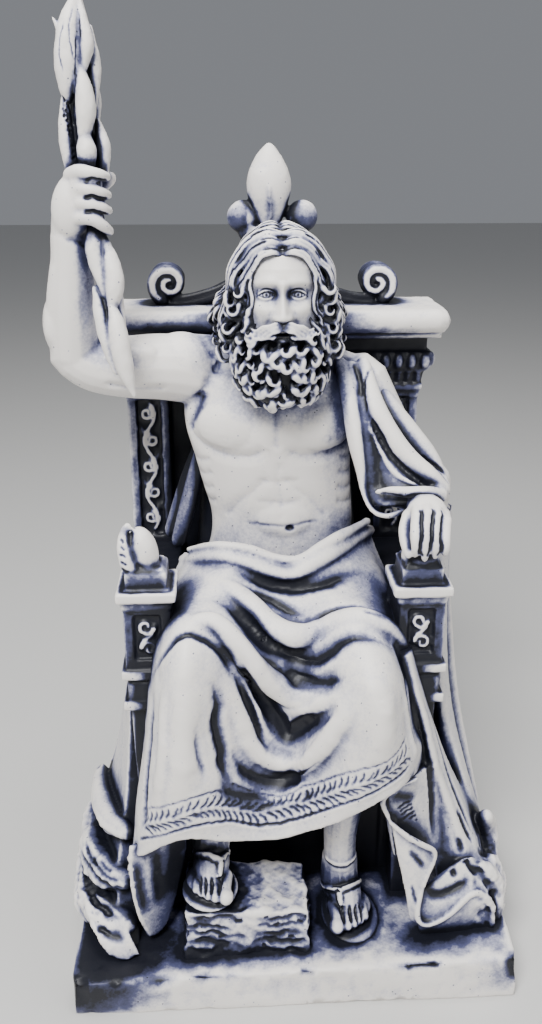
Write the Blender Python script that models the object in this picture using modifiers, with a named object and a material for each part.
"""Bearded sky god seated on a high-backed throne, a one-piece painted casting.

Metres, +Z up, the figure faces -Y. The origin is the middle of the plinth's underside.
The plinth and the throne have sizes of their own. The sitter is a free form, written in
shares of its own height: one share is a 276th of the height from plinth to crown.
"""
import math

import bmesh
import bpy
from mathutils import Euler, Vector

# The plinth
PLINTH_WIDTH = 0.175
PLINTH_DEPTH = 0.150
PLINTH_HEIGHT = 0.017
PLINTH_SLOPE = 0.004

# The sitter, from the plinth's top to the crown of the hair
FIGURE_HEIGHT = 0.276
SHARES_IN_HEIGHT = 276

# The throne, measured from its own middle line
THRONE_MIDDLE = -0.003
THRONE_WIDTH = 0.126
THRONE_BACK = 0.062
OVERLAP = 0.001
SEAT_INSET = 0.004
BACK_THICKNESS = 0.009
BACK_RECESS = 0.002

# Its back posts, each with a sunk panel between two strips
POST_WIDTH = 0.018
POST_DEPTH = 0.017
POST_STRIP = 0.0043
PANEL_SUNK = 0.002
CAPITAL_HEIGHT = 0.026

# The mouldings under the cornice, from the lowest: depth below the cornice, overhang, height
MOULDINGS = ((0.0260, 0.0025, 0.0040), (0.0170, 0.0035, 0.0050), (0.0085, 0.0050, 0.0085))
CORNICE_OVERHANG = 0.009
CORNICE_DEPTH = 0.034
CORNICE_HEIGHT = 0.011

# The crest: scrolls, the walls that sweep up between them, side lobes and finial
VOLUTE_RADIUS = 0.0088
VOLUTE_DEPTH = 0.014
VOLUTE_INSET = 0.0195
VOLUTE_TURNS = 1.6
SCROLL_LIP = 0.0017
SWEEP_RISE = 0.0135
SWEEP_STEPS = 12
LOBE_RADIUS = 0.0068
LOBE_SPREAD = 0.0118
LOBE_LEVEL = 0.034
FINIAL_RADIUS = 0.0090
FINIAL_HEIGHT = 0.0365
FINIAL_LEVEL = 0.0265
CREST_FROM_BACK = 0.007

# Its arms: a rail on a side wall, and a front pillar of stacked blocks on a tapered leg
PILLAR_FRONT = -0.038
PILLAR_WIDTH = 0.0175
PILLAR_DEPTH = 0.019
RAIL_HEIGHT = 0.012
RAIL_OVERHANG = 0.002
CUSHION_HEIGHT = 0.0065
ABACUS_OVERHANG = 0.0025
BAND_OVERHANG = 0.0018
BAND_HEIGHT = 0.004
NECK_HEIGHT = 0.003
PANEL_HEIGHT = 0.022
FRIEZE_HEIGHT = 0.009
LEG_TAPER = 0.75
EGG_RADIUS = 0.007
EGG_HEIGHT = 0.0095

# The mesh: grain of the cast surface before it is thinned, and the share of it that is kept
GRAIN = 0.0011
KEPT_SHARE = 0.0150
SOFTENING = 3

# Places along a smooth bar: how far apart, and the closer ones of small forms such as fingers
STEP = 0.0025
FINE_STEP = 0.001

# How far the robe's cloth lies behind the crests of its folds, in shares of the sitter's height
FOLD_DEPTH = 2.5

SHARE = FIGURE_HEIGHT / SHARES_IN_HEIGHT


def at(x, y, z):
    """A point of the sitter, in shares of its height, above the middle of the plinth's top."""
    return Vector((x * SHARE, y * SHARE, z * SHARE + PLINTH_HEIGHT))


# Levels of the throne that the sitter settles: the left hand lies on the arm's top ornament
ARM_TOP = at(0, 0, 133).z
ABACUS_TOP = at(0, 0, 147).z
HAND_REST = at(0, 0, 158).z
CORNICE_BASE = at(0, 0, 228).z
SEAT_TOP = at(0, 0, 108).z


def points(*rows):
    return [at(*row) for row in rows]


def shares(*values):
    return [value * SHARE for value in values]


def lerp(a, b, t):
    return a + (b - a) * t


def clear_scene():
    for obj in list(bpy.data.objects):
        bpy.data.objects.remove(obj)


def collection(name):
    made = bpy.data.collections.new(name)
    bpy.context.scene.collection.children.link(made)
    return made


def between(before, start, end, after, t):
    """A place on the Catmull-Rom curve from start to end."""
    return 0.5 * (2 * start + (end - before) * t
                  + (2 * before - 5 * start + 4 * end - after) * t ** 2
                  + (3 * start - before - 3 * end + after) * t ** 3)


def with_ends(line):
    """The line's points, with one more past each end that carries on straight."""
    return [line[0] * 2 - line[1], *line, line[-1] * 2 - line[-2]]


def smooth_path(line, radii, step):
    """Places about a step apart on a smooth curve through the line, and the radius at each."""
    path, widths = [], []
    ends = with_ends(line)
    for i in range(len(line) - 1):
        count = max(2, round((line[i + 1] - line[i]).length / step))
        for k in range(count):
            t = k / count
            path.append(between(*ends[i : i + 4], t))
            widths.append(lerp(radii[i], radii[i + 1], t * t * (3 - 2 * t)))
    return path + [line[-1]], widths + [radii[-1]]


def spread(line, steps):
    """The same number of places between each two points of a line, on a smooth curve."""
    ends = with_ends(line)
    places = [between(*ends[i : i + 4], k / steps) for i in range(len(line) - 1) for k in range(steps)]
    return places + [line[-1]]


class Modeller:
    """Gathers overlapping closed shapes in one mesh object."""

    def __init__(self, name, target):
        self.mesh = bpy.data.meshes.new(name)
        self.object = bpy.data.objects.new(name, self.mesh)
        target.objects.link(self.object)
        self.pieces = []

    def keep(self, obj):
        """Bakes a primitive or curve into plain mesh data, and removes the object."""
        bpy.context.view_layer.update()
        graph = bpy.context.evaluated_depsgraph_get()
        data = bpy.data.meshes.new_from_object(obj.evaluated_get(graph))
        data.transform(obj.matrix_world)
        self.pieces.append(data)
        bpy.data.objects.remove(obj)

    def ball(self, centre, radii, turn=(0, 0, 0)):
        """An ellipsoid."""
        bpy.ops.mesh.primitive_uv_sphere_add(segments=28, ring_count=18, location=centre)
        obj = bpy.context.object
        obj.scale = radii
        obj.rotation_euler = Euler([math.radians(a) for a in turn])
        self.keep(obj)

    def block(self, low, high, taper=1.0):
        """An upright box between two corners, its foot narrowed by taper."""
        low, high = Vector(low), Vector(high)
        bpy.ops.mesh.primitive_cube_add(size=1, location=(low + high) / 2)
        obj = bpy.context.object
        obj.scale = high - low
        for vertex in obj.data.vertices:
            if vertex.co.z < 0:
                vertex.co.x *= taper
                vertex.co.y *= taper
        self.keep(obj)

    def roll(self, line, radii, step=STEP):
        """A round bar of changing thickness along a smooth curve, such as a limb, a fold or a lock."""
        path, widths = smooth_path(line, radii, step)
        data = bpy.data.curves.new("roll", "CURVE")
        data.dimensions = "3D"
        data.bevel_depth = 1.0
        data.bevel_resolution = 4
        data.use_fill_caps = True
        spline = data.splines.new("POLY")
        spline.points.add(len(path) - 1)
        for point, place, width in zip(spline.points, path, widths):
            point.co = (*place, 1)
            point.radius = width
        obj = bpy.data.objects.new("roll", data)
        bpy.context.scene.collection.objects.link(obj)
        self.keep(obj)
        for place, width in ((path[0], widths[0]), (path[-1], widths[-1])):
            self.ball(place, (width, width, width))

    def turned(self, centre, profile):
        """A solid turned round a vertical axis: (radius, height) pairs from top to bottom."""
        data = bpy.data.meshes.new("profile")
        outline = [(radius, 0, height) for radius, height in profile]
        data.from_pydata(outline, [(i, i + 1) for i in range(len(outline) - 1)], [])
        obj = bpy.data.objects.new("profile", data)
        bpy.context.scene.collection.objects.link(obj)
        obj.location = centre
        screw = obj.modifiers.new("turn", "SCREW")
        screw.axis = "Z"
        screw.steps = screw.render_steps = 32
        screw.use_merge_vertices = True
        screw.merge_threshold = 0.00005
        self.keep(obj)

    def lofted(self, rings):
        """A closed trunk through flattened rings: (height, x, y, half width, half depth) in shares."""
        sides = 32
        places = []
        for height, x, y, wide, deep in rings:
            for k in range(sides):
                angle = math.tau * k / sides
                c, s = math.cos(angle), math.sin(angle)
                places.append(at(x + wide * math.copysign(abs(c) ** 0.85, c),
                                 y + deep * math.copysign(abs(s) ** 0.85, s), height))
        faces = [tuple(range(sides)), tuple(reversed(range(len(places) - sides, len(places))))]
        for i in range(len(rings) - 1):
            for k in range(sides):
                a, b = i * sides + k, i * sides + (k + 1) % sides
                faces.append((a, a + sides, b + sides, b))
        data = bpy.data.meshes.new("trunk")
        data.from_pydata(places, [], faces)
        self.pieces.append(data)

    def sheet(self, rows, thickness, sunk=0.0):
        """A cloth through a net of points, in rows of shares, set back by sunk, its wall behind it."""
        steps = 8
        across = [spread(points(*row), steps) for row in rows]
        net = [spread([row[i] for row in across], steps) for i in range(len(across[0]))]
        tall = len(net[0])
        places = [place for column in net for place in column]
        faces = []
        for i in range(len(net) - 1):
            for k in range(tall - 1):
                a = i * tall + k
                faces.append((a, a + 1, a + tall + 1, a + tall))
        data = bpy.data.meshes.new("sheet")
        data.from_pydata(places, [], faces)
        obj = bpy.data.objects.new("sheet", data)
        bpy.context.scene.collection.objects.link(obj)
        wall = obj.modifiers.new("wall", "SOLIDIFY")
        wall.thickness = thickness * SHARE
        wall.offset = -1
        back = obj.modifiers.new("set back", "DISPLACE")
        back.strength = -sunk * SHARE
        back.mid_level = 0
        self.keep(obj)

    def done(self):
        """Joins the shapes; they still overlap, and the remesh fuses them."""
        joined = bmesh.new()
        for data in self.pieces:
            joined.from_mesh(data)
            bpy.data.meshes.remove(data)
        joined.to_mesh(self.mesh)
        joined.free()
        return self.object


def carve_plinth(work):
    """A slab whose top rises a little to the sitter's left, as the cast came out."""
    half_width, half_depth = PLINTH_WIDTH / 2, PLINTH_DEPTH / 2
    bpy.ops.mesh.primitive_cube_add(size=1, location=(0, 0, 0))
    obj = bpy.context.object
    for vertex in obj.data.vertices:
        side = 1 if vertex.co.x > 0 else -1
        top = PLINTH_HEIGHT + side * PLINTH_SLOPE / 2
        vertex.co = (side * half_width, math.copysign(half_depth, vertex.co.y),
                     top if vertex.co.z > 0 else -PLINTH_HEIGHT / 2)
    work.keep(obj)


def carve_throne(work):
    """Seat block, back board, two posts, two arms, and the entablature with its crest."""
    half = THRONE_WIDTH / 2
    foot = PLINTH_HEIGHT / 2
    post_front = THRONE_BACK - POST_DEPTH
    board_half = half - POST_WIDTH * 2 / 3

    def slab(half_width, y0, y1, z0, z1):
        work.block((THRONE_MIDDLE - half_width, y0, z0), (THRONE_MIDDLE + half_width, y1, z1))

    slab(half - SEAT_INSET, PILLAR_FRONT + PILLAR_DEPTH, THRONE_BACK, foot, SEAT_TOP)
    slab(board_half, THRONE_BACK - BACK_THICKNESS, THRONE_BACK - BACK_RECESS, foot, CORNICE_BASE)
    for side in (-1, 1):
        carve_post(work, THRONE_MIDDLE + side * (half - POST_WIDTH / 2), post_front, foot)
        carve_arm(work, THRONE_MIDDLE + side * (half - PILLAR_WIDTH / 2 - ABACUS_OVERHANG), foot, side)
    for below, out, tall in MOULDINGS:
        low = CORNICE_BASE - below
        slab(half + out, post_front - out, THRONE_BACK + out / 2, low, low + tall)
    cornice_front = THRONE_BACK - CORNICE_DEPTH
    middle = CORNICE_BASE + CORNICE_HEIGHT / 2
    slab(half + CORNICE_OVERHANG, cornice_front, THRONE_BACK + CORNICE_OVERHANG / 2, CORNICE_BASE, middle)
    slab(half + CORNICE_OVERHANG * 0.6, cornice_front + PANEL_SUNK, THRONE_BACK + CORNICE_OVERHANG / 3,
         middle - OVERLAP, CORNICE_BASE + CORNICE_HEIGHT)
    carve_crest(work, half - VOLUTE_INSET)


def carve_post(work, x, front, foot):
    """One back post: a foot block, a shaft with a sunk panel between two strips, and a neck band."""
    half = POST_WIDTH / 2
    shaft_top = CORNICE_BASE - CAPITAL_HEIGHT

    def piece(x0, x1, y0, z0, z1):
        work.block((x + x0, y0, z0), (x + x1, THRONE_BACK, z1))

    piece(-half, half, front, foot, ARM_TOP + PANEL_SUNK)
    piece(-half + OVERLAP, half - OVERLAP, front + PANEL_SUNK, ARM_TOP, CORNICE_BASE)
    piece(-half, -half + POST_STRIP, front, ARM_TOP, shaft_top)
    piece(half - POST_STRIP, half, front, ARM_TOP, shaft_top)
    piece(-half, half, front, shaft_top - BAND_HEIGHT / 2, shaft_top + BAND_HEIGHT)


def carve_arm(work, x, foot, side):
    """One arm: a rail from the post to a front pillar of stacked blocks on a tapered leg."""
    half = PILLAR_WIDTH / 2
    front, back = PILLAR_FRONT, PILLAR_FRONT + PILLAR_DEPTH
    rail_low = ARM_TOP - RAIL_HEIGHT

    def stage(z0, z1, out=0.0, taper=1.0):
        work.block((x - half - out, front - out, z0), (x + half + out, back + out, z1), taper)

    rear = THRONE_BACK - OVERLAP
    work.block((x - half - RAIL_OVERHANG, back - OVERLAP, rail_low),
               (x + half + RAIL_OVERHANG, rear, ARM_TOP))
    work.block((x - half, back - OVERLAP, foot), (x + half - OVERLAP, rear, rail_low + OVERLAP))
    abacus_low = ABACUS_TOP - BAND_HEIGHT
    panel_top = abacus_low - NECK_HEIGHT
    panel_low = panel_top - PANEL_HEIGHT
    upper_band = panel_low - 2 * BAND_HEIGHT
    lower_band = upper_band - FRIEZE_HEIGHT - BAND_HEIGHT
    stage(ABACUS_TOP - OVERLAP, ABACUS_TOP + CUSHION_HEIGHT, -OVERLAP)
    stage(abacus_low, ABACUS_TOP, ABACUS_OVERHANG)
    stage(upper_band, abacus_low + OVERLAP)
    stage(upper_band, upper_band + BAND_HEIGHT, BAND_OVERHANG)
    stage(lower_band, upper_band + OVERLAP)
    stage(lower_band, lower_band + BAND_HEIGHT, BAND_OVERHANG)
    stage(foot, lower_band + OVERLAP, -OVERLAP, LEG_TAPER)
    carve_arm_ornament(work, x, front + PILLAR_DEPTH / 2, side)


def carve_arm_ornament(work, x, y, side):
    """A ball under the left hand. On the other arm an egg, with a curled leaf beside it."""
    if side > 0:
        work.ball((x, y, HAND_REST - EGG_RADIUS / 2), [EGG_RADIUS] * 3)
        return
    low = ABACUS_TOP + CUSHION_HEIGHT
    egg = (EGG_RADIUS, EGG_RADIUS, EGG_HEIGHT)
    work.ball((x + EGG_RADIUS / 4, y, low + EGG_HEIGHT * 0.7), egg, (0, -14, 0))
    leaf = ((-1.10, -0.1), (-1.20, 0.7), (-0.70, 1.4), (-0.05, 1.7))
    work.roll([Vector((x + EGG_RADIUS * out, y - EGG_RADIUS / 2, low + EGG_HEIGHT * up)) for out, up in leaf],
              [EGG_RADIUS * share for share in (0.38, 0.42, 0.38, 0.26)], FINE_STEP)


def carve_crest(work, reach):
    """Two scrolls whose walls sweep up to the middle, side lobes, and an egg-shaped finial."""
    base = CORNICE_BASE + CORNICE_HEIGHT
    eye = base + VOLUTE_RADIUS * 0.92
    y = THRONE_BACK - CREST_FROM_BACK
    front, back = y - VOLUTE_DEPTH / 2, y + VOLUTE_DEPTH / 2
    for side in (-1, 1):
        x = THRONE_MIDDLE + side * reach
        bpy.ops.mesh.primitive_cylinder_add(vertices=32, radius=VOLUTE_RADIUS, depth=VOLUTE_DEPTH,
                                            location=(x, y, eye), rotation=(math.pi / 2, 0, 0))
        work.keep(bpy.context.object)
        scroll, count = [], 26
        for i in range(count):
            t = i / (count - 1)
            angle = math.radians(250) - t * VOLUTE_TURNS * math.tau
            away = VOLUTE_RADIUS * lerp(0.86, 0.18, t)
            scroll.append(Vector((x - side * away * math.cos(angle), front, eye + away * math.sin(angle))))
        work.roll(scroll, [SCROLL_LIP * lerp(1, 0.65, i / (count - 1)) for i in range(count)], FINE_STEP)
        foot_of_sweep = eye - VOLUTE_RADIUS * 0.45
        for i in range(SWEEP_STEPS):
            x0, x1 = sorted(THRONE_MIDDLE + side * reach * (1 - (i + k) / SWEEP_STEPS) for k in (0, 1))
            top = foot_of_sweep + SWEEP_RISE * ((i + 0.5) / SWEEP_STEPS) ** 1.4
            work.block((x0 - OVERLAP / 2, front + OVERLAP, base - OVERLAP),
                       (x1 + OVERLAP / 2, back - OVERLAP, top))
        run = side * (reach - FINIAL_RADIUS)
        lip = [Vector((x - run * t, front + OVERLAP, foot_of_sweep + SWEEP_RISE * t ** 1.4))
               for t in (0.1, 0.3, 0.55, 0.8, 1)]
        work.roll(lip, [SCROLL_LIP * share for share in (1.3, 1.2, 1.1, 1.0, 0.9)])
        work.ball((THRONE_MIDDLE + side * LOBE_SPREAD, y, base + LOBE_LEVEL), [LOBE_RADIUS] * 3)
    work.block((THRONE_MIDDLE - FINIAL_RADIUS, front + 2 * OVERLAP, base - OVERLAP),
               (THRONE_MIDDLE + FINIAL_RADIUS, back - 2 * OVERLAP, base + LOBE_LEVEL))
    profile, rings = [(0.0, FINIAL_HEIGHT)], 12
    for i in range(1, rings):
        t = i / rings
        profile.append((FINIAL_RADIUS * math.sin(math.pi * t ** 0.80) ** 0.85, FINIAL_HEIGHT * (1 - t)))
    work.turned((THRONE_MIDDLE, y, base + FINIAL_LEVEL), [*profile, (0.0, 0.0)])


def carve_torso(work):
    """Bare chest and belly, shoulders and neck."""
    work.lofted((
        (228, -3, 19, 12, 10), (224, -3, 19, 20, 11), (218, -3, 18, 33, 13), (208, -4, 17, 36, 16),
        (196, -6, 16, 34, 18), (184, -5, 17, 32, 17), (170, -3, 17, 30.5, 15.5), (158, -1, 18, 29.5, 15.5),
        (146, -1, 18, 30, 17), (130, -1, 20, 35, 20), (108, -1, 22, 38, 22),
    ))
    work.ball(at(-20, 8, 197), shares(16, 10.5, 12.5), (0, 8, 0))
    work.ball(at(10, 8, 196), shares(15, 10.5, 12.5), (0, -8, 0))
    work.ball(at(-1, 12, 158), shares(19, 12, 17))
    work.roll(points((-3, 19, 215), (-3, 11, 242)), shares(12, 11))
    # The cloak behind the back, between the sitter and the throne
    work.lofted(((222, -3, 36, 26, 16), (190, -3, 37, 30, 17), (150, -2, 37, 34, 17),
                (108, -2, 37, 38, 17)))


def carve_raised_arm(work):
    """The sitter's right arm: out level from the shoulder, and the forearm upright."""
    work.roll(points((-36, 18, 217), (-48, 15, 219.5), (-62, 11, 220.5), (-74, 9, 222), (-82, 8, 226)),
              shares(13, 13, 12, 10.5, 9))
    work.ball(at(-40, 17, 219), shares(14, 12, 13))
    work.roll(points((-82, 8, 226), (-82, 7, 238), (-82, 5, 249), (-80, 2, 262), (-80, 1, 271)),
              shares(9, 9.3, 8.2, 6.6, 6.0))
    work.ball(at(-75, 0, 280), shares(6.5, 7, 11), (0, 14, 0))
    for i in range(4):
        level = 289 - 4.9 * i
        out = 1.2 * math.sin(i)
        finger = ((-76, -5, level + 1), (-71, -9, level + 1), (-65 + out, -9, level - 1),
                  (-61.5 + out, -5, level - 2))
        work.roll(points(*finger), shares(2.7, 2.6, 2.4, 2.1), FINE_STEP)
    work.roll(points((-77, 3, 276), (-72, 8, 284), (-66, 6, 289)), shares(3.2, 3, 2.5), FINE_STEP)


def carve_bolt(work):
    """The bundle of twisted flames in the raised hand: lobes that overlap round a bent axis."""
    axis = points((-69, 0, 349), (-71, 0, 334), (-71, 0, 319), (-72, 0, 303), (-69, -3, 288),
                  (-67, -5, 271), (-66, -8, 258), (-65, -11, 246), (-62, -13, 232), (-58, -13, 218))
    widths = shares(1.2, 4.6, 5.0, 5.2, 4.2, 4.0, 4.8, 5.2, 5.0, 1.5)
    work.roll(axis, widths)
    path, radii = smooth_path(axis, widths, STEP)
    strands, lobes = 3, 6
    swell = (0.30, 0.68, 0.74, 0.60, 0.20)
    for strand in range(strands):
        for lobe in range(lobes):
            start = (lobe + strand / strands) / lobes
            lobe_points, lobe_radii = [], []
            for k in range(len(swell)):
                share = min(1, start + 1.1 / lobes * k / (len(swell) - 1))
                index = round(share * (len(path) - 1))
                turn = math.tau * (strand / strands + 1.1 * share)
                out = radii[index] * 0.72
                lobe_points.append(path[index] + Vector((math.cos(turn) * out, math.sin(turn) * out, 0)))
                lobe_radii.append(radii[index] * swell[k])
            if (lobe_points[0] - lobe_points[-1]).length > 2 * STEP:
                work.roll(lobe_points, lobe_radii)


def carve_resting_arm(work):
    """The sitter's left arm under the cloak, and the hand hanging over the arm's ornament."""
    work.roll(points((32, 18, 217), (46, 14, 197), (58, 9, 174)), shares(13, 12, 11))
    work.roll(points((58, 9, 172), (55, -8, 170), (49, -24, 173)), shares(10, 8.5, 6.5))
    work.ball(at(48.5, -32, 173), shares(7.5, 6.5, 5))
    for i, x in enumerate((42.5, 46.5, 50.5, 54.5)):
        drop = (2, 0, 1, 4)[i]
        finger = ((x + 0.8, -33, 175.5), (x, -38, 172.5), (x - 0.3, -40.5, 167), (x, -39.5, 160.5 + drop))
        work.roll(points(*finger), shares(2.6, 2.6, 2.4, 1.9), FINE_STEP)
    work.roll(points((43, -30, 172), (40, -34, 167), (41, -37, 162)), shares(2.8, 2.5, 2), FINE_STEP)


def carve_head(work):
    """Skull, face, hair in long wavy locks from a middle parting, and a full curled beard."""
    work.ball(at(-3, 8, 254), shares(17, 19, 20.5))
    work.ball(at(-3, -1, 250), shares(13.8, 16.5, 20))
    work.ball(at(-3, -8, 243), shares(10.5, 11, 12))
    work.roll(points((-3, -16, 257), (-3, -18.5, 251), (-3, -21.5, 246.5)), shares(1.6, 2, 2.8), FINE_STEP)
    work.roll(points((-13, -13, 257), (-8, -16.5, 258.5), (-3, -16, 257), (2, -16.5, 258.5), (7, -13, 257)),
              shares(1.6, 2.1, 1.8, 2.1, 1.6), FINE_STEP)
    carve_hair(work)
    carve_beard(work)


def carve_hair(work):
    """Waved locks side by side, each from the middle parting over the skull to the shoulder."""
    locks, places = 6, 9
    for side in (-1, 1):
        for i in range(locks):
            across = i / (locks - 1)
            line, radii = [], []
            for k in range(places):
                down = k / (places - 1)
                wave = 2.0 * math.sin(math.tau * (1.8 * down + 0.37 * i)) * min(1, 3 * down)
                out = 18 * math.sin(min(1, 1.5 * down) * math.pi / 2) + 3.5 * down ** 2
                line.append(at(-3 + side * (out + 0.7 * wave), lerp(lerp(-11, -1, down), 19, across) + wave,
                               271.5 - 44 * down ** 1.4))
                radii.append((2.0 + 5.2 * down * (1 - down)) * SHARE)
            work.roll(line, radii)
    for side in (-1, 1):
        work.ball(at(-3 + side * 17, 9, 243), shares(4.5, 10, 17))


def carve_beard(work):
    work.ball(at(-3, -2, 229), shares(18, 12.5, 19))
    for row in range(4):
        count = (7, 8, 7, 5)[row]
        level = 237 - 7.6 * row
        half_width = (17.5, 18.5, 17, 12)[row]
        for i in range(count):
            t = (i + 0.5) / count * 2 - 1
            x = -3 + half_width * t
            y = -3 - (14.5 - row * 0.7) * math.sqrt(max(0.0, 1 - 0.85 * t * t))
            hook = 2.2 * math.copysign(1, t + 0.01)
            curl = ((x, y, level + 3), (x + hook * 0.6, y - 1.4, level - 1),
                    (x - hook * 0.4, y - 1.2, level - 5), (x + hook * 0.6, y - 0.2, level - 8))
            work.roll(points(*curl), shares(1.7, 2.2, 1.9, 1.0), FINE_STEP)
    for side in (-1, 1):
        moustache = ((-3 + side * 1, -19.5, 242.5), (-3 + side * 6, -19, 243),
                     (-3 + side * 12, -15, 240), (-3 + side * 15.5, -11, 237))
        work.roll(points(*moustache), shares(2.0, 2.7, 2.4, 1.4), FINE_STEP)


def carve_robe(work):
    """The robe: one cloth from the waist over both knees to the hem, and its main folds."""
    work.sheet((
        ((-43, 14, 141), (-36, 0, 146), (-22, -12, 149), (-2, -15, 143), (14, -10, 148), (27, 1, 151),
         (36, 14, 150)),
        ((-50, 8, 130), (-44, -14, 138), (-30, -27, 142), (-4, -30, 133), (18, -25, 138),
         (36, -12, 138), (44, 6, 132)),
        ((-56, -5, 115), (-52, -34, 128), (-38, -49, 139), (-5, -43, 120), (22, -46, 135),
         (40, -34, 128), (50, -10, 115)),
        ((-58, -12, 98), (-54, -42, 112), (-40, -62, 124), (-6, -48, 104), (27, -65, 120),
         (43, -44, 112), (53, -16, 98)),
        ((-60, -16, 80), (-57, -48, 88), (-43, -66, 96), (-6, -51, 88), (28, -69, 98), (45, -50, 92),
         (56, -18, 80)),
        ((-62, -20, 60), (-60, -52, 66), (-43, -68, 74), (-8, -54, 70), (25, -69, 82), (46, -56, 84),
         (58, -22, 66)),
        ((-66, -24, 36), (-62, -56, 43), (-42, -68, 57), (-12, -62, 50), (20, -67, 66), (42, -60, 76),
         (60, -26, 56)),
    ), 12, FOLD_DEPTH)
    work.ball(at(-4, -24, 112), shares(38, 20, 20))
    work.ball(at(-8, -30, 84), shares(40, 14, 26))
    folds = (
        # The roll at the waist
        (((-42, 13, 139), (-34, -3, 145), (-27, -9, 149), (-18, -12, 148), (-9, -14, 144),
          (0, -15, 142), (9, -13, 146), (17, -8, 149), (31, 5, 151)),
         (4, 4.5, 4.5, 4.5, 4.5, 4.5, 4.5, 4.5, 4)),
        # The broad sweep across the lap and down over the left hip
        (((-38, 0, 138), (-25, -15, 141), (-13, -29, 134), (-2, -37, 126), (8, -40, 124),
          (19, -40, 131), (31, -38, 134), (42, -32, 122), (50, -23, 103), (55, -22, 70)),
         (5, 5.5, 6, 6, 5.5, 5.5, 5.5, 5, 4.5, 4)),
        # The swag from the right knee to the left one
        (((-53, -22, 108), (-47, -37, 126), (-39, -44, 136), (-31, -41, 138), (-23, -46, 131),
          (-16, -48, 123), (-8, -47, 113), (0, -47, 106), (9, -49, 108), (17, -53, 114)),
         (3.5, 4, 4, 4, 4, 4, 4.2, 4.5, 4, 3)),
        # Inside the right shin, and the low swag between the shins
        (((-27, -55, 134), (-22, -55, 126), (-18, -53, 113), (-14, -49, 98)), (3, 3, 3, 2.2)),
        (((-23, -55, 119), (-20, -55, 107), (-14, -52, 92), (-9, -50, 82), (-2, -49, 78),
          (4, -50, 82), (10, -53, 93), (15, -58, 103)), (3, 3.5, 3.8, 4, 4.2, 4, 3.8, 3.2)),
        # The slanting fold from the left knee to the middle of the hem
        (((24, -61, 113), (11, -56, 94), (0, -53, 76), (-7, -52, 64), (-13, -56, 54)),
         (3.5, 4, 4, 3.8, 3)),
        # Two folds at the robe's right edge
        (((-54, -34, 118), (-57, -42, 88), (-60, -47, 64), (-63, -52, 42)), (3.5, 3, 3, 2)),
        (((-50, -48, 112), (-52, -52, 86), (-54, -56, 62)), (3, 2.5, 2.5)),
        # The hem
        (((-64, -52, 41), (-55, -59, 51), (-41, -65, 58), (-26, -62, 57), (-13, -59, 52),
          (1, -59, 56), (19, -64, 67), (34, -63, 76), (45, -57, 80)),
         (2.2, 3, 3.2, 3.2, 3.2, 3.2, 3.2, 3.2, 2.5)),
    )
    for path, widths in folds:
        work.roll(points(*path), shares(*widths))


def carve_side_falls(work):
    """The cloth that falls from the lap and the cloak down both sides of the throne to the plinth."""
    edge = PLINTH_WIDTH / 2 / SHARE
    beside_left_arm = (
        ((58, -14, 160), (66, -2, 164), (70, 16, 160), (66, 34, 160)),
        ((54, -27, 112), (67, -14, 120), (72, 10, 120), (69, 36, 120)),
        ((56, -30, 82), (69, -24, 80), (75, 6, 78), (72, 34, 80)),
        ((58, -36, 48), (71, -34, 46), (80, 0, 44), (77, 30, 45)),
        ((62, -48, 16), (79, -46, 16), (edge - 1.5, -10, 16), (edge - 4.5, 24, 12)),
        ((62, -54, -2), (edge - 2.5, -54, -2), (edge - 0.5, -12, -2), (edge - 2.5, 26, -2)),
    )
    beside_right_arm = (
        ((-65, 30, 108), (-64, 0, 108), (-60, -20, 104)),
        ((-70, 30, 58), (-70, -6, 60), (-62, -34, 62)),
        ((-76, 28, 26), (-76, -16, 28), (-64, -46, 32)),
        ((5.5 - edge, 20, 8), (5.5 - edge, -34, 10), (-66, -56, 12)),
        ((1.5 - edge, 22, -2), (1.5 - edge, -44, -2), (-68, -64, -2)),
    )
    cascade = (
        ((44, -58, 79), (52, -47, 75), (60, -34, 66)),
        ((41, -56, 54), (52, -52, 54), (62, -42, 48), (70, -32, 44)),
        ((46, -55, 30), (57, -54, 30), (68, -46, 28), (79, -36, 26)),
        ((49, -58, 8), (63, -58, 8), (edge - 10.5, -54, 9), (edge - 0.5, -47, 10)),
        ((49, -60, -3), (66, -60, -3), (edge - 7.5, -57, -3), (edge + 0.5, -50, -3)),
    )
    work.sheet(beside_left_arm, 16)
    work.sheet(beside_right_arm, 14)
    work.sheet([[*row, row[-1]] if len(row) == 3 else row for row in cascade], 10)
    falls = (
        (((46, -30, 114), (52, -31, 92), (58, -31, 63), (68, -36, 34), (edge - 7.5, -47, 10)),
         (5, 5, 6, 7, 6)),
        (((47, -58, 74), (53, -54, 58), (39, -57, 53), (55, -54, 39), (48, -57, 26), (52, -60, 6)),
         (2.8, 3, 3, 3.4, 3.6, 4)),
        (((54, -60, 9), (64, -59, 11), (74, -57, 16), (edge - 7.5, -57, 5), (edge + 0.5, -50, 8)),
         (3, 3.4, 3.6, 3.4, 4)),
        (((60, -44, 60), (66, -48, 40), (66, -54, 24), (70, -58, 8)), (3, 3.6, 3.6, 3.6)),
        (((-77, -28, 28), (-73, -46, 16), (-72, -58, 5)), (4, 4, 4)),
        (((3.5 - edge, -26, 8), (5.5 - edge, -44, 6), (8.5 - edge, -60, 2)), (4, 5, 4)),
        (((-64, -50, 40), (-62, -51, 20), (-61, -52, 2)), (2.0, 3.0, 3)),
    )
    for path, widths in falls:
        work.roll(points(*path), shares(*widths))


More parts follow.
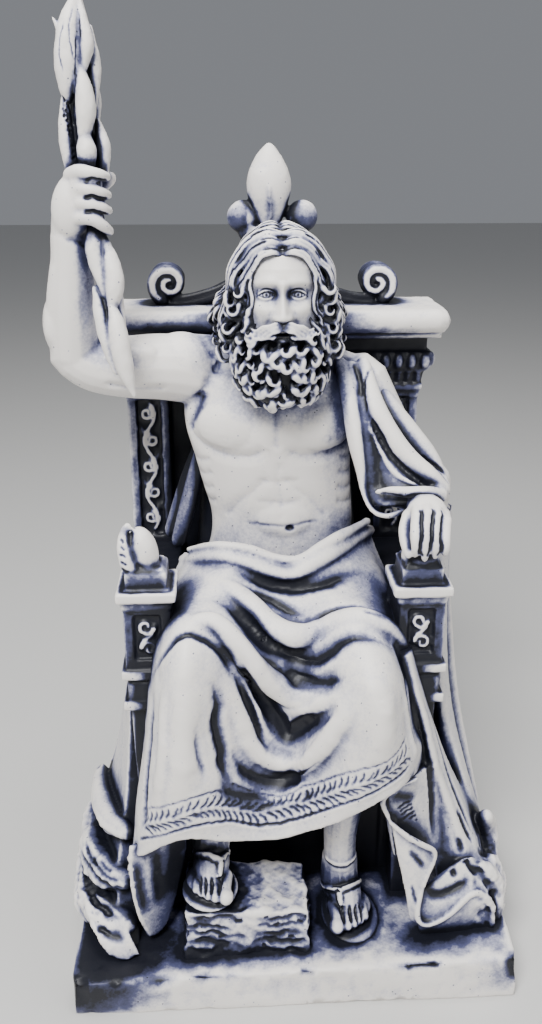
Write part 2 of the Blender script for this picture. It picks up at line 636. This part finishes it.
def carve_cloak(work):
    """The cloak over the left shoulder and arm: one cloth from the neck to the wrist, and its folds."""
    work.sheet((
        ((17, 7, 223), (24, 7, 226), (32, 14, 228), (40, 22, 225), (45, 34, 218)),
        ((23, -1, 208), (31, -1, 209), (41, 2, 211), (50, 9, 208), (56, 26, 202)),
        ((27, -5, 192), (35, -7, 192), (46, -6, 194), (57, 2, 192), (63, 24, 185)),
        ((31, -7, 177), (39, -12, 176), (50, -14, 179), (62, -4, 177), (68, 22, 168)),
        ((33, -8, 167), (41, -17, 164), (52, -18, 169), (65, -5, 163), (70, 20, 150)),
    ), 14)
    folds = (
        (((18, 7, 223), (23, 0, 208), (27, -4, 192), (31, -6, 176), (33, -8, 167)), (2.5, 2.8, 3, 3, 2.5)),
        (((27, 9, 226), (33, -2, 209), (40, -8, 193), (47, -12, 181), (55, -16, 175)), (2.5, 3, 3, 3, 2.5)),
        (((34, 14, 228), (45, 2, 209), (55, -2, 192), (62, -5, 177)), (3, 3.4, 3.4, 3)),
        (((33, -8, 168), (37, -13, 165), (44, -16, 166), (50, -18, 170), (58, -15, 173)),
         (2.6, 3, 3, 3, 2.6)),
    )
    for path, widths in folds:
        work.roll(points(*path), shares(*widths))


def carve_feet(work):
    """The right foot on a rough stone, the left one on the plinth, both in sandals."""
    # The stone
    work.block(at(-43, -66, -4), at(5, -36, 17))
    work.ball(at(-19, -50, 15), shares(25, 17, 12), (-14, 0, 0))
    # The right leg and foot
    work.roll(points((-38, -40, 62), (-35, -40, 40), (-33, -41, 32)), shares(8, 6.5, 6))
    work.roll(points((-33, -43, 29), (-33, -52, 28), (-34, -60, 25)), shares(6, 6, 5.5))
    for i in range(5):
        x = -28.5 - 2.9 * i
        toe = points((x + 1, -57, 26 - 0.3 * i), (x - 0.5, -65 + 1.1 * i, 23.5))
        work.roll(toe, shares(2.4 - 0.18 * i, 2.0 - 0.15 * i), FINE_STEP)
    # The left leg and foot
    work.roll(points((24, -44, 84), (20, -42, 50), (19.5, -42, 26), (20, -43, 17)), shares(9, 7.5, 6.3, 6.8))
    work.roll(points((20, -44, 13), (22, -53, 9), (23, -60, 6.5)), shares(6.8, 7, 6))
    for i in range(5):
        x = 17.5 + 3.1 * i
        toe = points((x + 0.8, -58 + 0.8 * i, 6), (x + 1.2, -67 + 1.8 * i, 4))
        work.roll(toe, shares(2.6 - 0.2 * i, 2.2 - 0.15 * i), FINE_STEP)
    work.ball(at(23, -56, 1.5), shares(11, 15, 3))


def cast(work):
    """Fuses the overlapping shapes into one skin, softens it, thins it and cuts the foot flat."""
    obj = work.done()
    fuse = obj.modifiers.new("fuse", "REMESH")
    fuse.mode = "VOXEL"
    fuse.voxel_size = GRAIN
    soften = obj.modifiers.new("soften", "SMOOTH")
    soften.factor = 0.5
    soften.iterations = SOFTENING
    thin = obj.modifiers.new("thin", "DECIMATE")
    thin.ratio = KEPT_SHARE
    thin.use_collapse_triangulate = True
    return obj


def cut_foot_flat(obj, cutters):
    """The underside is ground flat at the level that the plinth stands on."""
    room = 2 * max(PLINTH_WIDTH, PLINTH_DEPTH)
    bpy.ops.mesh.primitive_cube_add(size=1, location=(0, 0, -room / 2))
    cutter = bpy.context.object
    cutter.name = "floor_cutter"
    cutter.scale = (room, room, room)
    cutter.hide_render = True
    cutter.display_type = "WIRE"
    for home in cutter.users_collection:
        home.objects.unlink(cutter)
    cutters.objects.link(cutter)
    cut = obj.modifiers.new("flat foot", "BOOLEAN")
    cut.operation = "DIFFERENCE"
    cut.object = cutter


def cast_paint():
    """Ivory paint over dark wash, here as one plain coat."""
    paint = bpy.data.materials.new("painted_cast_resin")
    paint.use_nodes = True
    shader = paint.node_tree.nodes["Principled BSDF"]
    shader.inputs["Base Color"].default_value = (0.62, 0.60, 0.60, 1)
    shader.inputs["Roughness"].default_value = 0.5
    shader.inputs["Metallic"].default_value = 0.0
    return paint


def main():
    clear_scene()
    statue = collection("seated_god_statue")
    cutters = collection("cutters")
    work = Modeller("zeus_statue", statue)
    carve_plinth(work)
    carve_throne(work)
    carve_torso(work)
    carve_raised_arm(work)
    carve_bolt(work)
    carve_resting_arm(work)
    carve_head(work)
    carve_robe(work)
    carve_side_falls(work)
    carve_cloak(work)
    carve_feet(work)
    obj = cast(work)
    cut_foot_flat(obj, cutters)
    obj.data.materials.append(cast_paint())


main()
